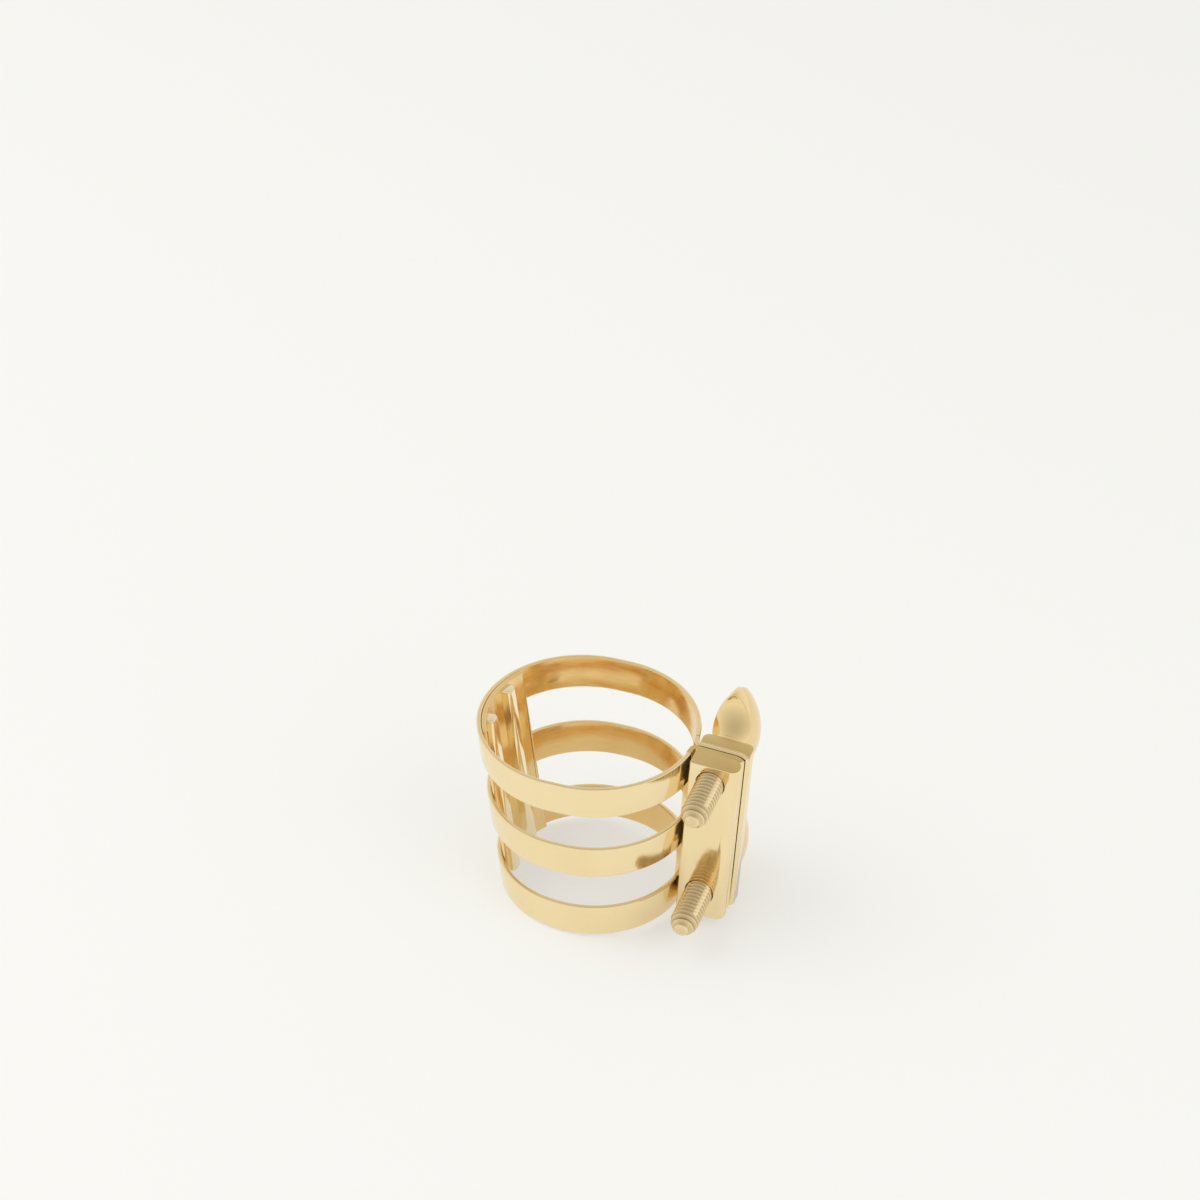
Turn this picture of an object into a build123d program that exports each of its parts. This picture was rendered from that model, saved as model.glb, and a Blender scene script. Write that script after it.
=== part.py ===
# Saxophone ligature: three strap bands round a mouthpiece, a reed plate with two
# rails, and two thumb screws that draw a pair of lugs together.
#
# Origin: on the axis of the bore, at the narrow end that the part stands on.
# +Z runs along the mouthpiece towards the wide end, +X points from the reed plate
# to the lugs, and +Y points from the screw tips to the thumb heads. Millimetres.

from build123d import *
from math import asin, atan, cos, degrees, radians, sin, sqrt, tan
import os

os.makedirs("parts", exist_ok=True)

# Bands: a strap wound on a cone, a little longer from plate to lugs than across
hoop_height = 27.0
band_width = 5.1
strap = 0.65  # thickness of the strap
seat_radius = 12.2  # inside of the bands' round ends at the narrow end
cone_angle = 3.2  # half angle of the cone behind the lugs
foot_stretch = 0.2  # straight stretch between the round ends, at the narrow end
top_stretch = 1.9  # the same at the wide end

# Reed plate and its rails
plate_width = 14.4  # across the reed, measured straight
plate_thickness = 0.7
rail_spacing = 6.8
rail_width = 2.0
rail_height = 1.2
rail_corner = 0.45  # rounding along both edges of a rail's crest
rail_end_round = 0.3
rail_end_gap = 0.5  # from each end of the plate to the end of a rail

# Turned-out strips and the lugs brazed to them
lug_gap = 0.3  # between the two strips when the screws are tight
lug_start = 0.25  # from the outside of the bands to the lugs
near_lug_length = 6.75
near_lug_thickness = 3.0
far_lug_thickness = 2.1
lug_foot = 0.4  # how far the lugs stop above the narrow end, at the bands
bend_radius = 0.6  # centre line of the bend from band to strip
strip_reach = 9.0  # angle round the cone, at the narrow end, where a strip takes over from the bands
end_radius = 1.6  # rounding of the near lug's outer end, which both strips hug
near_wrap = 45  # how far each strip hugs that rounding
far_wrap = 40
front_radius = 1.2  # outer front corner of the near lug
back_radius = 1.0  # back corners of the far lug
edge_break = 0.2

# Screws
screw_diameter = 4.0
screw_pitch = 0.7
thread_depth = 0.35
screw_inset = 3.1  # from the start of the lugs to the screw axes
lower_screw_end = 4.2  # from the narrow end of the lugs to the lower screw axis
upper_screw_end = 2.9  # from the wide end of the lugs to the upper screw axis
tip_reach = 8.3  # screw beyond the near lug
tip_round = 1.6  # where the crests of the thread start to round over
tip_dome = 0.3  # plain end beyond the first groove
shank_root = 0.6  # plain shank under the thumb head's shoulder
near_bore_clearance = 0.05
far_bore_clearance = 0.1

# Thumb heads: turned on the screw's axis, with both sides pressed to a domed disc
shoulder_radius = 2.7
shoulder_height = 0.8
head_gap = 0.05  # running gap between shoulder and far lug
neck_radius = 2.4
neck_height = 0.8  # straight part of the neck
blade_width = 12.6
blade_length = 10.4  # from the shoulder to the end of the blade
blade_widest = 4.3  # from the shoulder to the rim, where the blade is widest
lens_thickness = 6.2
blade_edge = 0.5  # thickness left at the rim of the disc
blade_tilt = 5  # turn of both blades about their screws

# Sizes worked out from those above
slope = tan(radians(cone_angle))
stretch_slope = (top_stretch - foot_stretch) / hoop_height
foot_radius = seat_radius + strap
band_pitch = (hoop_height - band_width) / 2
strip_line = (lug_gap + strap) / 2  # middle of each strip, from the parting plane
lug_face = lug_gap / 2 + strap  # inner face of each lug, from the parting plane
near_face = lug_face + near_lug_thickness
far_face = lug_face + far_lug_thickness
lug_length = hoop_height / cos(radians(cone_angle)) - lug_foot


def hoop_solid(gap, low, high, mode=Mode.ADD):
    """Solid inside a wall that stands a gap outside the seat of the bands."""
    ends = []
    for height in (low, high):
        stretch = foot_stretch + height * stretch_slope
        with BuildSketch(Plane.XY.offset(height)) as end:
            with Locations((-stretch / 2, 0)):
                SlotCenterToCenter(stretch, 2 * (seat_radius + gap + height * slope))
        ends.append(end.sketch)
    loft(ends, ruled=True, mode=mode)


# The lugs lean with the cone: X of this plane runs away from the bands, Z up along them
lug_plane = Plane(
    origin=(foot_radius, 0, 0),
    x_dir=(cos(radians(cone_angle)), 0, -sin(radians(cone_angle))),
    z_dir=(sin(radians(cone_angle)), 0, cos(radians(cone_angle))),
)

# Bands: full hoops, then the mouth where the strips take over
mouth_reach = 2 * foot_radius
mouth_half = mouth_reach * tan(radians(strip_reach))
band_names = ["bottom_band", "middle_band", "top_band"]
for row, band_name in enumerate(band_names):
    band_foot = row * band_pitch
    with BuildPart() as band:
        hoop_solid(strap, band_foot, band_foot + band_width)
        hoop_solid(0, band_foot, band_foot + band_width, Mode.SUBTRACT)
        with BuildSketch(lug_plane.offset(-hoop_height)):
            Polygon(
                (-foot_radius, 0),
                (mouth_reach - foot_radius, -mouth_half),
                (mouth_reach - foot_radius, mouth_half),
                align=None,
            )
        extrude(amount=3 * hoop_height, mode=Mode.SUBTRACT)
    band.part.label = band_name
    export_step(band.part, f"parts/{band_name}.step")

# Reed plate: a piece of the same shape, inside the bands
plate_inside = seat_radius - plate_thickness
with BuildPart() as reed_plate:
    hoop_solid(0, 0, hoop_height)
    hoop_solid(-plate_thickness, 0, hoop_height, Mode.SUBTRACT)
    with BuildSketch(Plane.XY):
        with Locations((-foot_radius, 0)):
            Rectangle(2 * foot_radius, plate_width)
    extrude(amount=hoop_height, mode=Mode.INTERSECT)
reed_plate.part.label = "reed_plate"
export_step(reed_plate.part, "parts/reed_plate.step")

# Rails: bars with rounded crests that stand on the plate's inner face and lean with it
plate_lean = atan(slope + stretch_slope)
plate_plane = Plane(
    origin=(-plate_inside - foot_stretch, 0, 0),
    x_dir=(cos(plate_lean), 0, sin(plate_lean)),
    z_dir=(-sin(plate_lean), 0, cos(plate_lean)),
)
rail_seat = plate_inside - sqrt(plate_inside**2 - (rail_spacing / 2) ** 2)
rail_crest = rail_seat + rail_height
rail_length = hoop_height / cos(plate_lean) - 2 * rail_end_gap
for rail_name, side in (("near_rail", -1), ("far_rail", 1)):
    with BuildPart() as rail:
        with BuildSketch(plate_plane.offset(rail_end_gap)) as rail_plan:
            with Locations((rail_crest - rail_width, side * rail_spacing / 2)):
                Rectangle(2 * rail_width, rail_width)
            fillet(rail_plan.vertices().group_by(Axis.X)[-1], rail_corner)
        extrude(amount=rail_length)
        rail_ends = rail.faces().sort_by(Axis.Z)
        fillet(rail_ends[0].edges() + rail_ends[-1].edges(), rail_end_round)
        hoop_solid(-plate_thickness, 0, hoop_height, Mode.INTERSECT)
    rail.part.label = rail_name
    export_step(rail.part, f"parts/{rail_name}.step")

# Strips: they leave the cone in a tight bend, run out between the lugs and hug the
# rounded end of the near lug
line_radius = foot_radius - strap / 2
bend_height = strip_line + bend_radius
bend_distance = sqrt((line_radius + bend_radius) ** 2 - bend_height**2)
bend_turn = degrees(asin(bend_height / (line_radius + bend_radius)))
bend_x = bend_distance - foot_radius
near_lug_end = lug_start + near_lug_length
hug_x = near_lug_end - end_radius
hug_y = -lug_face - end_radius
lug_top = lug_foot + lug_length


def side_point(x, z):
    """A point of the leaning lug plane, as X and Z of the part."""
    point = lug_plane.from_local_coords((x, 0, z))
    return (point.X, point.Z)


strip_side = [
    (0, 0),
    (side_point(lug_start, lug_foot)[0], 0),
    side_point(lug_start, lug_foot),
    side_point(2 * near_lug_end, lug_foot),
    side_point(2 * near_lug_end, lug_top),
    side_point(0, lug_top),
    (0, hoop_height),
]

# Screw axes, as places on the plane that faces the near lug
side_plane = Plane(
    origin=lug_plane.origin, x_dir=lug_plane.x_dir, z_dir=(0, -1, 0)
)
screw_x = lug_start + screw_inset
screw_heights = {
    "lower": lug_foot + lower_screw_end,
    "upper": lug_top - upper_screw_end,
}
screw_places = [(screw_x, height) for height in screw_heights.values()]
screw_radius = screw_diameter / 2

near_hug = end_radius + strap / 2
far_hug = near_hug + strap + lug_gap
for strip_name, side, hug, wrap in (
    ("near_strip", -1, near_hug, near_wrap),
    ("far_strip", 1, far_hug, far_wrap),
):
    with BuildPart() as strip:
        with BuildSketch(lug_plane):
            with BuildLine():
                CenterArc(
                    (-foot_radius, 0),
                    line_radius,
                    side * strip_reach,
                    side * (bend_turn - strip_reach),
                )
                CenterArc(
                    (bend_x, side * bend_height),
                    bend_radius,
                    180 + side * bend_turn,
                    side * (90 - bend_turn),
                )
                Line((bend_x, side * strip_line), (hug_x, side * strip_line))
                CenterArc((hug_x, hug_y), hug, 90, -wrap)
            trace(line_width=strap)
        extrude(amount=2 * hoop_height, both=True)
        with BuildSketch(Plane.XZ):
            Polygon(*strip_side, align=None)
        extrude(amount=foot_radius, both=True, mode=Mode.INTERSECT)
        with BuildSketch(side_plane):
            with Locations(*screw_places):
                Circle(screw_radius + far_bore_clearance)
        extrude(amount=far_face, both=True, mode=Mode.SUBTRACT)
    strip.part.label = strip_name
    export_step(strip.part, f"parts/{strip_name}.step")

# Lugs: solid bars brazed to the outer faces of the strips
with BuildPart() as near_lug:
    with BuildSketch(lug_plane.offset(lug_foot)) as near_plan:
        with Locations(((lug_start + near_lug_end) / 2, -(lug_face + near_face) / 2)):
            Rectangle(near_lug_length, near_lug_thickness)
        fillet(near_plan.vertices().group_by(Axis.X)[-1].sort_by(Axis.Y)[-1], end_radius)
        fillet(near_plan.vertices().sort_by(Axis.Y)[0:2].sort_by(Axis.X)[-1], front_radius)
    extrude(amount=lug_length)
    fillet(near_lug.faces().sort_by(Axis.Y)[0].edges().sort_by(Axis.X)[0], edge_break)
    with BuildSketch(side_plane):
        with Locations(*screw_places):
            Circle(screw_radius + near_bore_clearance)
    extrude(amount=2 * near_face, mode=Mode.SUBTRACT)
near_lug.part.label = "near_lug"
export_step(near_lug.part, "parts/near_lug.step")

# The far lug fills out to the strip that hugs the near lug's end
far_hug_outside = far_hug + strap / 2
far_turn = 90 - far_wrap
far_lip = (
    hug_x + far_hug_outside * cos(radians(far_turn)),
    hug_y + far_hug_outside * sin(radians(far_turn)),
)
with BuildPart() as far_lug:
    with BuildSketch(lug_plane.offset(lug_foot)) as far_plan:
        with BuildLine():
            Line((lug_start, lug_face), (hug_x, lug_face))
            CenterArc((hug_x, hug_y), far_hug_outside, 90, -far_wrap)
            Polyline(
                far_lip,
                (far_lip[0], far_face),
                (lug_start, far_face),
                (lug_start, lug_face),
            )
        make_face()
        fillet(far_plan.vertices().group_by(Axis.Y)[-1], back_radius)
    extrude(amount=lug_length)
    with BuildSketch(side_plane):
        with Locations(*screw_places):
            Circle(screw_radius + far_bore_clearance)
    extrude(amount=-2 * far_face, mode=Mode.SUBTRACT)
far_lug.part.label = "far_lug"
export_step(far_lug.part, "parts/far_lug.step")

# Screws and thumb heads
thread_count = round((tip_reach - tip_dome + near_face + lug_face) / screw_pitch)
shoulder_foot = far_face + head_gap
blade_foot = shoulder_foot + shoulder_height
tip_y = -near_face - tip_reach
thread_foot = tip_y + tip_dome


def crest_at(reach):
    """Radius of the thread's crests at a distance from the tip."""
    rest = max(0, 1 - reach / tip_round)
    return screw_radius * sqrt(1 - rest**2)


first_root = crest_at(tip_dome) - thread_depth
tip_arc = (first_root**2 + tip_dome**2) / (2 * tip_dome)
ball_rise = blade_length - blade_widest
ball_radius = (ball_rise**2 + (blade_width / 2) ** 2) / (2 * ball_rise)
ball_dip = degrees(asin((ball_rise - ball_radius) / ball_radius))
ball_centre = blade_foot + blade_length - ball_radius
side_sag = (lens_thickness - blade_edge) / 2
side_radius = ((blade_width / 2) ** 2 + side_sag**2) / (2 * side_sag)
for screw_name, height in screw_heights.items():
    screw_point = lug_plane.from_local_coords((screw_x, 0, height))
    screw_axis = Axis(screw_point, (0, 1, 0))
    screw_plane = Plane(
        origin=screw_point, x_dir=lug_plane.x_dir, z_dir=lug_plane.z_dir
    )
    with BuildPart() as screw:
        with BuildSketch(screw_plane):
            with BuildLine():
                RadiusArc((0, tip_y), (first_root, thread_foot), -tip_arc)
                thread = [(first_root, thread_foot)]
                for turn in range(thread_count):
                    reach = tip_dome + turn * screw_pitch
                    crest = reach + screw_pitch / 2
                    root = reach + screw_pitch
                    thread.append((crest_at(crest), tip_y + crest))
                    thread.append((crest_at(root) - thread_depth, tip_y + root))
                Polyline(
                    *thread,
                    (screw_radius, thread[-1][1] + thread_depth),
                    (screw_radius, blade_foot + shank_root),
                    (0, blade_foot + shank_root),
                    (0, tip_y),
                )
            make_face()
        revolve(axis=screw_axis)
    screw.part.label = f"{screw_name}_screw"
    export_step(screw.part, f"parts/{screw_name}_screw.step")

    tilt = radians(blade_tilt)
    blade_foot_point = screw_point + Vector(0, blade_foot, 0)
    lens_plane = Plane(
        origin=blade_foot_point, x_dir=(sin(tilt), 0, -cos(tilt)), z_dir=(0, 1, 0)
    )
    with BuildPart() as head:
        with BuildSketch(screw_plane):
            with BuildLine():
                ball = CenterArc((0, ball_centre), ball_radius, -ball_dip, 90 + ball_dip)
                flare = TangentArc((neck_radius, blade_foot), ball @ 0, tangent=(0, 1))
                Polyline(ball @ 1, (0, blade_foot), flare @ 0)
            make_face()
        revolve(axis=screw_axis)
        for offset in (side_radius - lens_thickness / 2, lens_thickness / 2 - side_radius):
            with Locations(lens_plane.from_local_coords((0, offset, blade_widest))):
                Sphere(side_radius, mode=Mode.INTERSECT)
        with BuildSketch(lens_plane):
            Circle(neck_radius)
        extrude(amount=neck_height)
        with BuildSketch(lens_plane.offset(-shoulder_height)):
            Circle(shoulder_radius)
        extrude(amount=shoulder_height)
        with BuildSketch(lens_plane.offset(-shoulder_height)):
            Circle(screw_radius)
        extrude(amount=shoulder_height + shank_root, mode=Mode.SUBTRACT)
    head.part.label = f"{screw_name}_thumb_head"
    export_step(head.part, f"parts/{screw_name}_thumb_head.step")
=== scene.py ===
import math
import bmesh
import bpy
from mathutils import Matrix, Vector


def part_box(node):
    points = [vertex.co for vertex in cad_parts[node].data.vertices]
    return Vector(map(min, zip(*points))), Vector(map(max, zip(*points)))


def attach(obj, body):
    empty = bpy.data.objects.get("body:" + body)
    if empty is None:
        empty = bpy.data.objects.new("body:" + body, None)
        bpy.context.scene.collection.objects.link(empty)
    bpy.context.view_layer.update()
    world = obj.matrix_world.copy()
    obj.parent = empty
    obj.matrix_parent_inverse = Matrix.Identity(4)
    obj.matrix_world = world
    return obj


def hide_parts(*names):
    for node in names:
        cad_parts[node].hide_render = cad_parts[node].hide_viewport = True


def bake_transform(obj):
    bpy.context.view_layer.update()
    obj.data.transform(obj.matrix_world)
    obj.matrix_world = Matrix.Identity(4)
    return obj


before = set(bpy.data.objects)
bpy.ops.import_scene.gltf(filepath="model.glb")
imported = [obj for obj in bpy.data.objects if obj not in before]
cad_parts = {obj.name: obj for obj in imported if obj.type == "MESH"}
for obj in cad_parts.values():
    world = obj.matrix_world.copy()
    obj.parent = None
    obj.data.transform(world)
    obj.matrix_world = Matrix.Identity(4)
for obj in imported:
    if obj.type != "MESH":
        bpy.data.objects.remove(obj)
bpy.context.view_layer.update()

mm = 0.001
hair = 0.001  # mm, places nearer than this are the same place
print("frame loaded:", len(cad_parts), "solids")

# The cone that everything is wound on, lengths in mm as everywhere below.
# X runs from the reed plate to the lugs, Z from the narrow end to the wide end.
cone = {
    "radius": 12.85,  # outside of the round ends, at the narrow end
    "angle": 3.2,  # half angle, degrees
    "stretch": 0.2,  # straight piece between the round ends, at the narrow end
    "topStretch": 1.9,  # the same at the wide end
    "height": 27.0,
    "sides": 288,
}
strapThick = 0.65  # of the bands and of the strips bent from the same sheet
lean = math.radians(cone["angle"])


def radiusAt(height):
    return cone["radius"] + height * math.tan(lean)


def stretchAt(height):
    return cone["stretch"] + height * (cone["topStretch"] - cone["stretch"]) / cone["height"]


# Modelling helpers

def deselectAll():
    if bpy.context.mode != "OBJECT":
        bpy.ops.object.mode_set(mode="OBJECT")
    bpy.ops.object.select_all(action="DESELECT")


def takeUp(piece):
    deselectAll()
    piece.select_set(True)
    bpy.context.view_layer.objects.active = piece


def applyPlace():
    bpy.ops.object.transform_apply(location=True, rotation=True, scale=True)


def newPiece(name):
    piece = bpy.context.active_object
    piece.name = name
    piece.data.name = name
    applyPlace()
    return piece


def editPiece(piece):
    takeUp(piece)
    bpy.ops.object.mode_set(mode="EDIT")
    bpy.ops.mesh.select_mode(type="VERT")
    bpy.ops.mesh.select_all(action="SELECT")


def pick(piece, kind, test):
    bpy.ops.mesh.select_mode(type=kind)
    bpy.ops.mesh.select_all(action="DESELECT")
    mesh = bmesh.from_edit_mesh(piece.data)
    items = {"VERT": mesh.verts, "EDGE": mesh.edges, "FACE": mesh.faces}[kind]
    count = 0
    for item in items:
        if test(item):
            item.select_set(True)
            count += 1
    mesh.select_flush_mode()
    bmesh.update_edit_mesh(piece.data)
    return count


def middle(item):
    if isinstance(item, bmesh.types.BMVert):
        return item.co / mm
    return sum((v.co for v in item.verts), Vector()) / len(item.verts) / mm


def useModifier(piece, kind, **settings):
    takeUp(piece)
    modifier = piece.modifiers.new(kind.title(), kind)
    for key, value in settings.items():
        setattr(modifier, key, value)
    bpy.ops.object.modifier_apply(modifier=modifier.name)


def removePiece(piece):
    mesh = piece.data
    bpy.data.objects.remove(piece)
    bpy.data.meshes.remove(mesh)


def copyPiece(piece, name, move):
    takeUp(piece)
    bpy.ops.object.duplicate(linked=False)
    bpy.context.active_object.location = Vector(move) * mm
    return newPiece(name)


def placePiece(piece, turn, place):
    takeUp(piece)
    piece.rotation_euler = (0, turn, 0)
    piece.location = [c * mm for c in place]
    applyPlace()


# Strips and lugs are modelled upright and then lean with the cone
def leanWithLugs(piece):
    placePiece(piece, lean, (cone["radius"], 0, 0))


def smoothPiece(piece, angle=30):
    takeUp(piece)
    bpy.ops.object.shade_smooth_by_angle(angle=math.radians(angle))


# Merges doubles, closes what small holes they leave and turns all faces outwards
def outward(piece):
    editPiece(piece)
    bpy.ops.mesh.remove_doubles(threshold=0.002 * mm)
    bpy.ops.mesh.fill_holes(sides=4)
    bpy.ops.mesh.normals_make_consistent(inside=False)
    bpy.ops.object.mode_set(mode="OBJECT")


def newBar(name, low, high):
    deselectAll()
    centre = [(a + b) / 2 * mm for a, b in zip(low, high)]
    bpy.ops.mesh.primitive_cube_add(size=1, location=centre)
    bpy.context.active_object.scale = [(b - a) * mm for a, b in zip(low, high)]
    return newPiece(name)


def riseOf(edge):
    return abs(edge.verts[0].co.z - edge.verts[1].co.z) / mm


def isSharp(edge, angle=60):
    return edge.calc_face_angle(0) > math.radians(angle)


def roundPicked(radius, segments):
    bpy.ops.mesh.bevel(offset=radius * mm, segments=segments, profile=0.5, affect="EDGES")


# Rounds the upright edge at one corner of a bar
def roundCorner(piece, x, y, radius, segments):
    def isCorner(edge):
        place = middle(edge)
        return riseOf(edge) > 1 and abs(place.x - x) < hair and abs(place.y - y) < hair
    pick(piece, "EDGE", isCorner)
    roundPicked(radius, segments)


# Rounds the edges round both ends of a bar, except those that lie flush with a neighbour
def softenEnds(piece, radius, segments, flush=None):
    def isEndEdge(edge):
        isFlush = flush is not None and abs(middle(edge).y - flush) < hair
        return riseOf(edge) < hair and isSharp(edge) and not isFlush
    pick(piece, "EDGE", isEndEdge)
    roundPicked(radius, segments)


# Keeps the side of the piece that the normal points away from
def cutAway(point, normal, fill=False):
    bpy.ops.mesh.select_mode(type="VERT")
    bpy.ops.mesh.select_all(action="SELECT")
    bpy.ops.mesh.bisect(
        plane_co=[c * mm for c in point], plane_no=normal,
        clear_outer=True, use_fill=fill, threshold=1e-7,
    )


# Spin turns the other way round its axis, so with the axis down it turns as seen from above
def spinPicked(steps, angle, centre):
    bpy.ops.mesh.spin(
        steps=steps, angle=angle, center=[c * mm for c in centre], axis=(0, 0, -1),
    )


# Materials

def hexColour(text):
    parts = [int(text[i:i + 2], 16) / 255 for i in (1, 3, 5)]
    return [c / 12.92 if c <= 0.04045 else ((c + 0.055) / 1.055) ** 2.4 for c in parts] + [1.0]


def addNode(tree, kind, settings=None, links=None):
    node = tree.nodes.new(kind)
    for key, value in (settings or {}).items():
        if isinstance(key, str) and hasattr(node, key):
            setattr(node, key, value)
        else:
            node.inputs[key].default_value = value
    for key, (source, output) in (links or {}).items():
        tree.links.new(source.outputs[output], node.inputs[key])
    return node


def newMaterial(name):
    material = bpy.data.materials.new(name)
    material.use_nodes = True
    material.node_tree.nodes.clear()
    return material, material.node_tree


# The socket numbers of a colour Mix node are 6 and 7 for its colours and 2 for its result
def goldPlate(name, finish):
    material, tree = newMaterial(name)
    place = addNode(tree, "ShaderNodeTexCoord")
    alongSwell = addNode(
        tree, "ShaderNodeMapping", {"Scale": finish["swell"]}, {"Vector": (place, "Object")},
    )
    alongGrain = addNode(
        tree, "ShaderNodeMapping", {"Scale": finish["grain"]}, {"Vector": (place, "Object")},
    )
    cloud = addNode(
        tree, "ShaderNodeTexNoise", {"Scale": 1 / (finish["cloud"] * mm), "Detail": 3.0},
        {"Vector": (place, "Object")},
    )
    tone = addNode(
        tree, "ShaderNodeMix",
        {"data_type": "RGBA", 6: hexColour(finish["light"]), 7: hexColour(finish["deep"])},
        {0: (cloud, "Fac")},
    )
    ripple = addNode(
        tree, "ShaderNodeTexNoise", {"Scale": 1 / (finish["ripple"] * mm), "Detail": 2.0},
        {"Vector": (alongSwell, "Vector")},
    )
    lines = addNode(
        tree, "ShaderNodeTexNoise", {"Scale": 1 / (finish["line"] * mm), "Detail": 4.0},
        {"Vector": (alongGrain, "Vector")},
    )
    rough = addNode(
        tree, "ShaderNodeMapRange",
        {"From Min": 0.35, "From Max": 0.65, "To Min": finish["rough"][0], "To Max": finish["rough"][1]},
        {"Value": (lines, "Fac")},
    )
    wave = addNode(
        tree, "ShaderNodeBump", {"Strength": 1.0, "Distance": finish["rippleDepth"] * mm},
        {"Height": (ripple, "Fac")},
    )
    relief = addNode(
        tree, "ShaderNodeBump", {"Strength": 1.0, "Distance": finish["lineDepth"] * mm},
        {"Height": (lines, "Fac"), "Normal": (wave, "Normal")},
    )
    # Painted shade: where the surface is hollow (low pointiness, as in grooves) the colour mixes towards
    # a dark tone
    if "groove" in finish:
        form = addNode(tree, "ShaderNodeNewGeometry")
        crest = addNode(
            tree, "ShaderNodeMapRange",
            {"From Min": finish["groove"][0], "From Max": finish["groove"][1]},
            {"Value": (form, "Pointiness")},
        )
        tone = addNode(
            tree, "ShaderNodeMix", {"data_type": "RGBA", 6: hexColour(finish["grooveTone"])},
            {0: (crest, "Result"), 7: (tone, 2)},
        )
    shader = addNode(
        tree, "ShaderNodeBsdfPrincipled", {"Metallic": finish["metallic"]},
        {"Base Color": (tone, 2), "Roughness": (rough, "Result"), "Normal": (relief, "Normal")},
    )
    addNode(tree, "ShaderNodeOutputMaterial", None, {"Surface": (shader, "BSDF")})
    return material


# Gold plate over polished brass: soft-edged, slightly wavy reflections that deepen
# from cream to amber wherever the plate mirrors itself. Sizes and depths are in mm.
goldFinish = {
    "light": "#FAE8BD",
    "deep": "#F2DAA6",
    "metallic": 0.95,  # a metal's 1, less a little for the look: deep corners keep some colour
    "cloud": 9.0,  # size of the soft patches between the light and the deep tone
    "swell": (1.0, 1.0, 1.0),  # below 1 draws the ripples out along that axis
    "ripple": 3.5,  # length of the shallow waves that polishing leaves
    "rippleDepth": 0.03,
    "grain": (1.0, 1.0, 0.15),  # the same for the lines
    "line": 0.35,  # spacing of the buffing lines, drawn as coarse as they need to show
    "lineDepth": 0.0012,
    "rough": (0.09, 0.17),
}
polishedGold = goldPlate("goldPlatePolished", goldFinish)

# Inside of the bands, less polished: a little duller, with longer waves and with lines
# that run round the wall. Its warmer, deeper colour is painted shade, the amber of the ring's inside
insideFinishAndShade = dict(goldFinish, light="#F8DA9B", deep="#EBC37D", ripple=5.5, rough=(0.13, 0.24))
insideFinishAndShade.update(grain=(0.12, 0.12, 1.0))
insideGoldAndShade = goldPlate("goldPlateInsideAndShade", insideFinishAndShade)

# Drawn bar and sheet of the plate and its rails, polished lengthways: reflections
# pulled out into long streaks
drawnFinish = dict(goldFinish, light="#F8E0A8", deep="#EDCB8A", ripple=2.5, rippleDepth=0.01)
drawnFinish.update(swell=(1.0, 1.0, 0.12), grain=(1.0, 1.0, 0.04), line=0.3, lineDepth=0.002)
drawnFinish.update(rough=(0.1, 0.2))
drawnGold = goldPlate("goldPlateDrawn", drawnFinish)

# Rails: the drawn finish with a painted highlight, paler so that their crests show brighter, and a
# little sharper
railFinishAndHighlight = dict(drawnFinish, light="#FCEFCC", deep="#F8E6BC", rippleDepth=0.004, rough=(0.08, 0.15))
railGoldAndHighlight = goldPlate("goldPlateRailHighlight", railFinishAndHighlight)

# The sawn ends of the lugs, brushed along their length before plating: matt, deeper
# gold with fine lines
brushedFinish = dict(goldFinish, light="#E8CE90", deep="#D2B273", rippleDepth=0.0)
brushedFinish.update(grain=(0.06, 1.0, 1.0), line=0.28, lineDepth=0.012, rough=(0.26, 0.42))
brushedGold = goldPlate("goldPlateBrushed", brushedFinish)

# Cut and plated thread: a little duller, with fine marks, and painted shade in the grooves, darkening
# them to brown
threadFinish = dict(goldFinish, rippleDepth=0.0, grain=(1.0, 1.0, 1.0), line=0.2, lineDepth=0.003)
threadFinish.update(rough=(0.14, 0.26), groove=(0.4, 0.535), grooveTone="#7E5526")
threadGold = goldPlate("goldPlateThread", threadFinish)

# Pressed and buffed heads: a clean mirror with hardly any waviness
headFinish = dict(goldFinish, light="#F6DFAC", deep="#ECCE92", ripple=5.0, rippleDepth=0.015)
headFinish.update(rough=(0.07, 0.13))
headGold = goldPlate("goldPlateHead", headFinish)
print("materials made")


# Faces that look along the part's own axis, and faces that look in towards it
def isEnd(face):
    return abs(face.normal.z) > 0.9


def isInside(face):
    return face.normal.xy.dot(face.calc_center_median().xy.normalized()) < -0.7


def dress(piece, material, second=None, isSecond=isEnd):
    piece.data.materials.clear()
    piece.data.materials.append(material)
    if second:
        piece.data.materials.append(second)
        editPiece(piece)
        pick(piece, "FACE", isSecond)
        piece.active_material_index = 1
        bpy.ops.object.material_slot_assign()
        bpy.ops.object.mode_set(mode="OBJECT")


# Bands

# Open wall of the cone between two heights, left in edit mode. The half away from the lugs
# is moved back, so that straight pieces lie between two round ends.
def hoopWall(name, low, high, inset):
    deselectAll()
    startRadius = radiusAt(low) - inset
    bpy.ops.mesh.primitive_circle_add(
        vertices=cone["sides"], radius=startRadius * mm, location=(0, 0, low * mm),
    )
    wall = newPiece(name)
    editPiece(wall)
    bpy.ops.mesh.extrude_region_move(TRANSFORM_OT_translate={"value": (0, 0, (high - low) * mm)})
    grow = (radiusAt(high) - inset) / startRadius
    bpy.ops.transform.resize(value=(grow, grow, 1), center_override=(0, 0, high * mm))
    for height in (low, high):
        pick(wall, "VERT", lambda v: abs(middle(v).z - height) < hair and middle(v).x < -hair)
        bpy.ops.transform.translate(value=(-stretchAt(height) * mm, 0, 0))
    bpy.ops.mesh.select_all(action="SELECT")
    bpy.ops.mesh.normals_make_consistent(inside=False)
    inwardCount = pick(wall, "FACE", lambda f: f.normal.dot(f.calc_center_median()) < 0)
    if inwardCount > cone["sides"] / 2:
        bpy.ops.mesh.select_all(action="SELECT")
        bpy.ops.mesh.flip_normals()
    return wall


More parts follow.
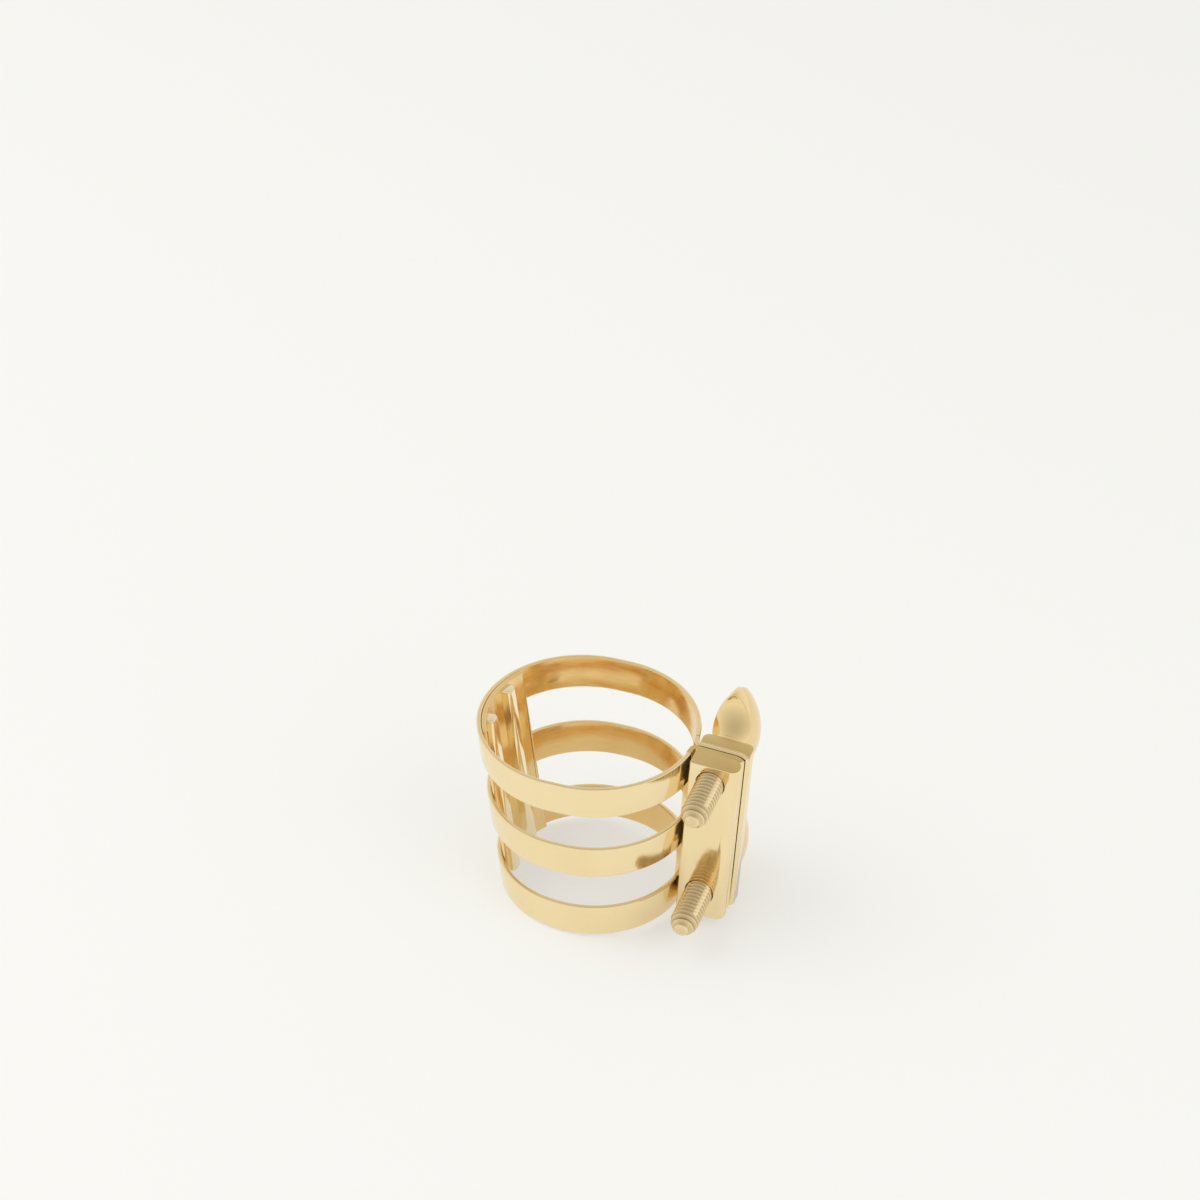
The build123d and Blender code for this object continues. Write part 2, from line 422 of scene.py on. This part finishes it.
# Rolls the rims of a curved wall, and its upright sides too where asked
def softenRims(piece, radius, segments, upright=False):
    def isRim(edge):
        if not isSharp(edge, 50):
            return False
        a, b = (v.co / mm for v in edge.verts)
        if upright and riseOf(edge) > 0.7 * (a - b).length:
            return True
        return riseOf(edge) < 0.02 and abs(a.xy.length - b.xy.length) < 0.2
    pick(piece, "EDGE", isRim)
    roundPicked(radius, segments)


bands = {
    "feet": {"bottom": 0.0, "middle": 10.95, "top": 21.9},
    "width": 5.1,
    "rim": 0.24,
    "rimSteps": 5,
    "mouth": 9.0,  # degrees round the cone where a strip takes over from the bands
    "mouthAxis": (0.02, 0, 0.717),  # a point on the leaning line where both end planes meet
}
mouthAngle = math.radians(bands["mouth"])
for bandName, foot in bands["feet"].items():
    for sideName, side in (("Near", -1), ("Far", 1)):
        half = hoopWall(bandName + "Band" + sideName, foot, foot + bands["width"], 0)
        cutAway((0, 0, 0), (0, -side, 0))
        cutAway(bands["mouthAxis"], (
            math.sin(mouthAngle) * math.cos(lean),
            -side * math.cos(mouthAngle),
            -math.sin(mouthAngle) * math.sin(lean),
        ))
        useModifier(half, "SOLIDIFY", thickness=strapThick * mm, offset=-1, use_even_offset=True)
        outward(half)
        editPiece(half)
        softenRims(half, bands["rim"], bands["rimSteps"])
        bpy.ops.object.mode_set(mode="OBJECT")
        smoothPiece(half)
        # The inside faces take the inside gold, whose warmer, deeper colour is painted shade
        dress(half, polishedGold, insideGoldAndShade, isInside)
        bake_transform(half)
        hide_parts(bandName + "_band")
print("bands made")

# Reed plate
plate = {
    "width": 14.4,
    "thick": 0.7,
    "rim": 0.26,
    "rimSteps": 5,
    "joint": 0.01,  # kept off the bands, so that no two faces coincide
}
reedPlate = hoopWall("reedPlate", 0, cone["height"], strapThick + plate["joint"])
cutAway((0, plate["width"] / 2, 0), (0, 1, 0))
cutAway((0, -plate["width"] / 2, 0), (0, -1, 0))
cutAway((0, 0, 0), (1, 0, 0))
useModifier(reedPlate, "SOLIDIFY", thickness=plate["thick"] * mm, offset=-1, use_even_offset=True)
outward(reedPlate)
editPiece(reedPlate)
softenRims(reedPlate, plate["rim"], plate["rimSteps"], upright=True)
bpy.ops.object.mode_set(mode="OBJECT")
smoothPiece(reedPlate)
dress(reedPlate, drawnGold)
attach(reedPlate, "hoop")
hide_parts("reed_plate")
print("reed plate made")

# Rails
rails = {
    "spacing": 6.8,
    "width": 2.0,
    "height": 1.2,
    "corner": 0.6,  # rounding along both edges of the crest
    "cornerSteps": 8,
    "endGap": 0.5,
    "endRound": 0.3,
    "endSteps": 5,
    "sunk": 0.25,  # the foot goes this far into the plate
}
plateInside = cone["radius"] - strapThick - plate["thick"]
plateLean = math.atan((radiusAt(1) - radiusAt(0)) + (stretchAt(1) - stretchAt(0)))
railLength = cone["height"] / math.cos(plateLean) - 2 * rails["endGap"]
railOff = rails["spacing"] / 2
railFoot = plateInside - math.sqrt(plateInside**2 - railOff**2)
railCrest = railFoot + rails["height"]
for railName, side in (("near", -1), ("far", 1)):
    rail = newBar(
        railName + "Rail",
        (railCrest - 2 * rails["width"], side * railOff - rails["width"] / 2, rails["endGap"]),
        (railCrest, side * railOff + rails["width"] / 2, rails["endGap"] + railLength),
    )
    editPiece(rail)
    for edgeSide in (-1, 1):
        edgeY = side * railOff + edgeSide * rails["width"] / 2
        roundCorner(rail, railCrest, edgeY, rails["corner"], rails["cornerSteps"])
    softenEnds(rail, rails["endRound"], rails["endSteps"])
    slant = side * railOff / math.sqrt(plateInside**2 - railOff**2)
    cutAway((railFoot - rails["sunk"], side * railOff, 0), (-1, slant, 0), fill=True)
    placePiece(rail, -plateLean, (-(plateInside + cone["stretch"]), 0, 0))
    outward(rail)
    smoothPiece(rail, 40)
    # The rails' paler colour is a painted highlight on their crests
    dress(rail, railGoldAndHighlight)
    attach(rail, "hoop")
    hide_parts(railName + "_rail")
print("rails made")

# Strips
strips = {
    "gap": 0.3,  # between the two strips
    "bend": 0.6,  # radius of the bend from band to strip, at the middle of the sheet
    "foot": 0.4,
    "top": 27.042,
    "hugX": 5.4,  # centre of the rounded end of the near lug, which both strips hug
    "hugY": -2.4,
    "wrap": {"near": 45, "far": 40},  # degrees
    "rim": 0.2,  # of the far strip; the near one is filed flush with its lug
    "rimSteps": 4,
    "bendSteps": 12,
    "mouthSteps": 5,
    "wrapSteps": 16,
}
bore = {
    "x": 3.35,
    "heights": (4.6, 24.142),  # along the lug, from the narrow end
    "near": 2.05,  # radius in the tapped near lug
    "far": 2.1,  # radius everywhere else
    "sides": 96,
    "depth": 20,
}


def drillBores(piece, radius):
    for height in bore["heights"]:
        deselectAll()
        bpy.ops.mesh.primitive_cylinder_add(
            vertices=bore["sides"], radius=radius * mm, depth=bore["depth"] * mm,
            location=(bore["x"] * mm, 0, height * mm), rotation=(math.pi / 2, 0, 0),
        )
        drill = newPiece("drill")
        useModifier(piece, "BOOLEAN", operation="DIFFERENCE", solver="EXACT", object=drill)
        removePiece(drill)


stripLine = (strips["gap"] + strapThick) / 2
lineRadius = cone["radius"] - strapThick / 2
bendHeight = stripLine + strips["bend"]
bendX = math.sqrt((lineRadius + strips["bend"]) ** 2 - bendHeight**2) - cone["radius"]
bendTurn = math.asin(bendHeight / (lineRadius + strips["bend"]))
for stripName, side in (("near", -1), ("far", 1)):
    deselectAll()
    length = strips["hugX"] - bendX
    tall = strips["top"] - strips["foot"]
    bpy.ops.mesh.primitive_plane_add(
        size=1, rotation=(math.pi / 2, 0, 0),
        location=((bendX + length / 2) * mm, side * stripLine * mm, (strips["foot"] + tall / 2) * mm),
    )
    strip = bpy.context.active_object
    strip.scale = (length * mm, tall * mm, 1)
    strip = newPiece(stripName + "Strip")
    editPiece(strip)
    pick(strip, "EDGE", lambda e: abs(middle(e).x - bendX) < hair)
    spinPicked(strips["bendSteps"], -side * (math.pi / 2 - bendTurn), (bendX, side * bendHeight, 0))
    spinPicked(strips["mouthSteps"], side * (mouthAngle - bendTurn), (-cone["radius"], 0, 0))
    pick(strip, "EDGE", lambda e: abs(middle(e).x - strips["hugX"]) < hair and riseOf(e) > 1)
    wrap = math.radians(strips["wrap"][stripName])
    spinPicked(strips["wrapSteps"], -wrap, (strips["hugX"], strips["hugY"], 0))
    pick(strip, "VERT", lambda v: middle(v).x < bendX + hair and middle(v).z < 1)
    bpy.ops.transform.translate(value=(0, 0, -strips["foot"] * mm))
    useModifier(strip, "SOLIDIFY", thickness=strapThick * mm, offset=0, use_even_offset=True)
    outward(strip)
    if side > 0:
        editPiece(strip)
        pick(strip, "EDGE", lambda e: riseOf(e) < hair and isSharp(e))
        roundPicked(strips["rim"], strips["rimSteps"])
        bpy.ops.object.mode_set(mode="OBJECT")
    drillBores(strip, bore["far"])
    leanWithLugs(strip)
    smoothPiece(strip)
    dress(strip, polishedGold, brushedGold if side < 0 else None)
    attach(strip, stripName + "_jaw")
    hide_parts(stripName + "_strip")
print("strips made")

# Lugs
lugs = {
    "start": 0.25,
    "end": 7.0,
    "nearThick": 3.0,
    "farThick": 2.1,
    "front": 1.2,  # radius of the near lug's outer front corner
    "frontSteps": 14,
    "round": 1.6,  # radius of its back corner, under the strip
    "roundSteps": 20,
    "inner": 0.2,  # radius of its corner beside the bands
    "innerSteps": 4,
    "back": 1.0,  # radius of the far lug's back corners
    "backSteps": 12,
    "edge": 0.12,  # broken edges round the sawn ends
    "edgeSteps": 3,
    "joint": 0.005,  # kept off the strips, so that no two faces coincide
}
lugFace = strips["gap"] / 2 + strapThick
nearFace = lugFace + lugs["nearThick"]
farFace = lugFace + lugs["farThick"]

nearLug = newBar(
    "nearLug",
    (lugs["start"], -nearFace, strips["foot"]),
    (lugs["end"], -lugFace, strips["top"]),
)
editPiece(nearLug)
roundCorner(nearLug, lugs["end"], -lugFace, lugs["round"] - lugs["joint"], lugs["roundSteps"])
roundCorner(nearLug, lugs["end"], -nearFace, lugs["front"], lugs["frontSteps"])
roundCorner(nearLug, lugs["start"], -nearFace, lugs["inner"], lugs["innerSteps"])
softenEnds(nearLug, lugs["edge"], lugs["edgeSteps"], flush=-lugFace)
drillBores(nearLug, bore["near"])

farHug = lugs["round"] + strapThick + strips["gap"] + strapThick
farTurn = math.radians(90 - strips["wrap"]["far"])
lipX = strips["hugX"] + farHug * math.cos(farTurn)
lipY = strips["hugY"] + farHug * math.sin(farTurn)
farLug = newBar("farLug", (lugs["start"], lipY, strips["foot"]), (lipX, farFace, strips["top"]))
deselectAll()
bpy.ops.mesh.primitive_cylinder_add(
    vertices=192, radius=(farHug + lugs["joint"]) * mm, depth=40 * mm,
    location=(strips["hugX"] * mm, strips["hugY"] * mm, 14 * mm),
)
hugCutter = newPiece("hugCutter")
editPiece(hugCutter)
# One half moves back, so that the cutter takes in the strip's straight run too
pick(hugCutter, "VERT", lambda v: middle(v).x < strips["hugX"] - hair)
bpy.ops.transform.translate(value=(-12 * mm, 0, 0))
bpy.ops.object.mode_set(mode="OBJECT")
useModifier(farLug, "BOOLEAN", operation="DIFFERENCE", solver="EXACT", object=hugCutter)
removePiece(hugCutter)
editPiece(farLug)
bpy.ops.mesh.dissolve_limited(angle_limit=math.radians(0.1))
for cornerX in (lugs["start"], lipX):
    roundCorner(farLug, cornerX, farFace, lugs["back"], lugs["backSteps"])
softenEnds(farLug, lugs["edge"], lugs["edgeSteps"])
drillBores(farLug, bore["far"])
for lug, body in ((nearLug, "near"), (farLug, "far")):
    outward(lug)
    leanWithLugs(lug)
    smoothPiece(lug)
    dress(lug, polishedGold, brushedGold)
    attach(lug, body + "_jaw")
    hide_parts(body + "_lug")
print("lugs made")

# Screws
screw = {
    "radius": 2.0,
    "depth": 0.35,
    "pitch": 0.7,
    "crestRound": 0.13,
    "crestSteps": 4,
    "tip": -12.1,  # from the lugs' middle plane, as is the end in the head
    "dome": 0.3,  # plain end beyond the thread
    "domeSteps": 6,
    "tipShrink": 0.54,  # of the radius, where the thread ends
    "tipRound": 1.8,  # from there to where the thread has its full radius
    "end": 5.3,
    "steps": 64,
}
axisPlaces = {}
for level in ("lower", "upper"):
    low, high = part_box(level + "_screw")
    axisPlaces[level] = ((low.x + high.x) / 2 / mm, (low.z + high.z) / 2 / mm)

# One V of the thread: half of a diamond, made as high as the thread is deep
deselectAll()
rootRadius = screw["radius"] - screw["depth"]
bpy.ops.mesh.primitive_circle_add(
    vertices=4, radius=screw["pitch"] / 2 * mm,
    location=(rootRadius * mm, (screw["tip"] - 0.5) * mm, 0),
)
threadRod = newPiece("threadRod")
editPiece(threadRod)
pick(threadRod, "VERT", lambda v: middle(v).x < rootRadius - 0.1)
bpy.ops.mesh.delete(type="VERT")
bpy.ops.mesh.select_all(action="SELECT")
bpy.ops.transform.resize(
    value=(screw["depth"] / (screw["pitch"] / 2), 1, 1), center_override=(rootRadius * mm, 0, 0),
)
pick(threadRod, "VERT", lambda v: middle(v).x > screw["radius"] - 0.05)
bpy.ops.mesh.bevel(
    offset=screw["crestRound"] * mm, segments=screw["crestSteps"], affect="VERTICES",
)
threadTurns = math.ceil((screw["end"] - screw["tip"] + 2) / screw["pitch"])
useModifier(
    threadRod, "SCREW", axis="Y", steps=screw["steps"], render_steps=screw["steps"],
    screw_offset=screw["pitch"] * mm, iterations=threadTurns,
    use_merge_vertices=True, merge_threshold=1e-6,
)

# Cut to length, then rounded over at the tip
threadEnd = screw["tip"] + screw["dome"]
editPiece(threadRod)
cutAway((0, threadEnd, 0), (0, -1, 0), fill=True)
cutAway((0, screw["end"], 0), (0, 1, 0), fill=True)
pick(threadRod, "FACE", lambda f: abs(middle(f).y - threadEnd) < hair and abs(f.normal.y) > 0.99)
bpy.ops.transform.resize(
    value=(screw["tipShrink"], 1, screw["tipShrink"]), center_override=(0, 0, 0),
    use_proportional_edit=True, proportional_edit_falloff="SHARP",
    proportional_size=screw["tipRound"] * mm,
)
lastRise, lastWidth = 0.0, 1.0
for step in range(1, screw["domeSteps"] + 1):
    turn = math.pi / 2 * step / screw["domeSteps"]
    rise = math.sin(turn)
    width = max(math.cos(turn), 0.04)  # the last ring is closed by its own small face
    bpy.ops.mesh.extrude_region_move(
        TRANSFORM_OT_translate={"value": (0, -screw["dome"] * (rise - lastRise) * mm, 0)},
    )
    shrink = width / lastWidth
    bpy.ops.transform.resize(value=(shrink, 1, shrink), center_override=(0, 0, 0))
    lastRise, lastWidth = rise, width
outward(threadRod)
smoothPiece(threadRod, 35)
for level, (x, z) in axisPlaces.items():
    rod = copyPiece(threadRod, level + "Screw", (x, 0, z))
    dress(rod, threadGold)
    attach(rod, level + "_screw_set")
    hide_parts(level + "_screw")
removePiece(threadRod)
print("screws made")

# Thumb heads
head = {
    "foot": 3.75,  # from the lugs' middle plane
    "shoulder": 2.7,  # radius
    "shoulderHigh": 0.8,
    "neck": 2.4,  # radius
    "neckHigh": 0.8,
    "collarEdge": 0.12,
    "width": 12.6,  # across the widest place
    "length": 10.4,
    "widest": 4.3,  # from the foot to the widest place
    "lens": 6.2,  # thickness at the middle
    "edge": 0.5,  # thickness at the rim
    "tilt": 5,  # degrees about the screw
    "flareSteps": 20,
    "ballSteps": 28,
    "turnSteps": 96,
    "grain": 0.075,  # of the even mesh that it is rebuilt in, which softens its sharp edges
    "smoothing": 3,
}
ballRise = head["length"] - head["widest"]
ballRadius = (ballRise**2 + (head["width"] / 2) ** 2) / (2 * ballRise)
ballCentre = head["foot"] + head["length"] - ballRadius
rimRadius = head["width"] / 2
flareOut = rimRadius - head["neck"]
flareRadius = (flareOut**2 + head["widest"] ** 2) / (2 * flareOut)
flareTurn = math.asin(head["widest"] / flareRadius)
ballTurn = math.atan2(rimRadius, head["foot"] + head["widest"] - ballCentre)

# Turned blank: a profile drawn from a single point by two spins, closed to the axis below
deselectAll()
bpy.ops.mesh.primitive_plane_add(size=1 * mm, location=(head["neck"] * mm, head["foot"] * mm, 0))
turned = newPiece("turnedHead")
editPiece(turned)
bpy.ops.mesh.merge(type="CENTER")
spinPicked(head["flareSteps"], -flareTurn, (head["neck"] + flareRadius, head["foot"], 0))
spinPicked(head["ballSteps"], ballTurn, (0, ballCentre, 0))


def isNeckPoint(vert):
    place = middle(vert)
    return abs(place.x - head["neck"]) < hair and abs(place.y - head["foot"]) < hair


pick(turned, "VERT", isNeckPoint)
for move in ((0, -0.2, 0), (-head["neck"], 0, 0)):
    bpy.ops.mesh.extrude_region_move(TRANSFORM_OT_translate={"value": Vector(move) * mm})
bpy.ops.mesh.select_all(action="SELECT")
bpy.ops.mesh.spin(steps=head["turnSteps"], angle=2 * math.pi, center=(0, 0, 0), axis=(0, 1, 0))
outward(turned)

# Pressed from both sides to a lens
sideSag = (head["lens"] - head["edge"]) / 2
sideRadius = (rimRadius**2 + sideSag**2) / (2 * sideSag)
for side in (-1, 1):
    deselectAll()
    sideX = side * (sideRadius - head["lens"] / 2)
    bpy.ops.mesh.primitive_uv_sphere_add(
        segments=256, ring_count=128, radius=sideRadius * mm,
        location=(sideX * mm, (head["foot"] + head["widest"]) * mm, 0),
    )
    press = newPiece("pressSide")
    useModifier(turned, "BOOLEAN", operation="INTERSECT", solver="EXACT", object=press)
    removePiece(press)

# Shoulder and neck, joined to the blank
parts = [turned]
for radius, low, high in (
    (head["shoulder"], -head["shoulderHigh"], 0.02),
    (head["neck"], -0.1, head["neckHigh"]),
):
    deselectAll()
    bpy.ops.mesh.primitive_cylinder_add(
        vertices=128, radius=radius * mm, depth=(high - low) * mm,
        location=(0, (head["foot"] + (low + high) / 2) * mm, 0), rotation=(math.pi / 2, 0, 0),
    )
    collar = newPiece("collar")
    editPiece(collar)
    pick(collar, "EDGE", isSharp)
    roundPicked(head["collarEdge"], 3)
    bpy.ops.object.mode_set(mode="OBJECT")
    parts.append(collar)
deselectAll()
for part in parts:
    part.select_set(True)
bpy.context.view_layer.objects.active = turned
bpy.ops.object.join()
useModifier(turned, "REMESH", mode="VOXEL", voxel_size=head["grain"] * mm)
useModifier(turned, "SMOOTH", factor=0.5, iterations=head["smoothing"])
placePiece(turned, -math.radians(head["tilt"]), (0, 0, 0))
smoothPiece(turned, 60)
for level, (x, z) in axisPlaces.items():
    thumb = copyPiece(turned, level + "ThumbHead", (x, 0, z))
    dress(thumb, headGold)
    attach(thumb, level + "_screw_set")
    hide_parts(level + "_thumb_head")
removePiece(turned)
print("thumb heads made")

# Floor, light and camera
studio = {
    "floor": "#F3F3F0",
    "floorSize": 3.0,  # metres
    "paper": "#F9F9F6",  # how the paper looks where nothing shades it
    "paperShare": 0.5,  # the rest of its look is the light and shadow that fall on it
    "tilt": 0.059,  # slope of the floor: the part leans on its rim and its lower thumb head
    "tiltTowards": (0.886, 0.465),
    "horizon": "#FDFCFA",
    "zenith": "#C6C4BE",
    "skyFrom": 0.05,  # height on the unit sphere where the horizon's colour starts to fade
}
slopeX, slopeY = (studio["tilt"] * c for c in studio["tiltTowards"])
rise = Vector((slopeX, slopeY, 1)).normalized()
deselectAll()
bpy.ops.mesh.primitive_grid_add(x_subdivisions=2, y_subdivisions=2, size=studio["floorSize"])
floor = bpy.context.active_object
floor.name = "floor"
floor.rotation_euler = Vector((0, 0, 1)).rotation_difference(rise).to_euler()
floor.location = (0, 0, -studio["tilt"] * cone["radius"] * mm)
floorPaint, tree = newMaterial("paperFloor")
matte = addNode(
    tree, "ShaderNodeBsdfPrincipled",
    {"Base Color": hexColour(studio["floor"]), "Roughness": 0.9, "Specular IOR Level": 0.1},
)
paper = addNode(tree, "ShaderNodeEmission", {"Color": hexColour(studio["paper"]), "Strength": 1.0})
ray = addNode(tree, "ShaderNodeLightPath")
mirrored = addNode(
    tree, "ShaderNodeMath", {"operation": "MAXIMUM"},
    {0: (ray, "Is Glossy Ray"), 1: (ray, "Is Transmission Ray")},
)
seen = addNode(
    tree, "ShaderNodeMath", {"operation": "MAXIMUM"},
    {0: (ray, "Is Camera Ray"), 1: (mirrored, "Value")},
)
share = addNode(
    tree, "ShaderNodeMath", {"operation": "MULTIPLY", 1: studio["paperShare"]}, {0: (seen, "Value")},
)
both = addNode(
    tree, "ShaderNodeMixShader", None,
    {0: (share, "Value"), 1: (matte, "BSDF"), 2: (paper, "Emission")},
)
addNode(tree, "ShaderNodeOutputMaterial", None, {"Surface": (both, "Shader")})
floor.data.materials.append(floorPaint)

world = bpy.data.worlds.new("studio")
bpy.context.scene.world = world
world.use_nodes = True
tree = world.node_tree
tree.nodes.clear()
direction = addNode(tree, "ShaderNodeTexCoord")
split = addNode(tree, "ShaderNodeSeparateXYZ", None, {"Vector": (direction, "Generated")})
height = addNode(
    tree, "ShaderNodeMapRange", {"From Min": studio["skyFrom"], "From Max": 1.0},
    {"Value": (split, "Z")},
)
sky = addNode(
    tree, "ShaderNodeMix",
    {"data_type": "RGBA", 6: hexColour(studio["horizon"]), 7: hexColour(studio["zenith"])},
    {0: (height, "Result")},
)
glow = addNode(tree, "ShaderNodeBackground", {"Strength": 1.0}, {"Color": (sky, 2)})
addNode(tree, "ShaderNodeOutputWorld", None, {"Surface": (glow, 0)})

# Two soft lamps aimed near the middle of the part, in metres and watts
lamps = {
    "key": {"place": (-0.45, -0.15, 0.6), "size": 0.7, "power": 2.2},
    "fill": {"place": (0.5, -0.2, 0.4), "size": 0.7, "power": 0.9},
}
lampAim = Vector((0, 0, 0.012))
for lampName, lamp in lamps.items():
    light = bpy.data.lights.new(lampName, "AREA")
    light.shape = "DISK"
    light.size = lamp["size"]
    light.energy = lamp["power"]
    holder = bpy.data.objects.new(lampName, light)
    bpy.context.scene.collection.objects.link(holder)
    holder.location = lamp["place"]
    holder.visible_glossy = False  # the polished plate mirrors the sky, not the lamps
    holder.rotation_euler = (lampAim - Vector(lamp["place"])).to_track_quat("-Z", "Y").to_euler()

view = {
    "place": (114.27, -328.52, 307.51),
    "turn": (53.225, -0.297, 19.319),  # degrees
    "lens": 99.18,
    "sensor": 36,
    "clipStart": 0.01,  # metres
}
cameraData = bpy.data.cameras.new("camera")
cameraData.sensor_width = view["sensor"]
cameraData.lens = view["lens"]
cameraData.clip_start = view["clipStart"]
camera = bpy.data.objects.new("camera", cameraData)
bpy.context.scene.collection.objects.link(camera)
camera.location = Vector(view["place"]) * mm
camera.rotation_euler = [math.radians(a) for a in view["turn"]]
bpy.context.scene.camera = camera
bpy.context.scene.view_settings.view_transform = "Standard"
print("studio made")
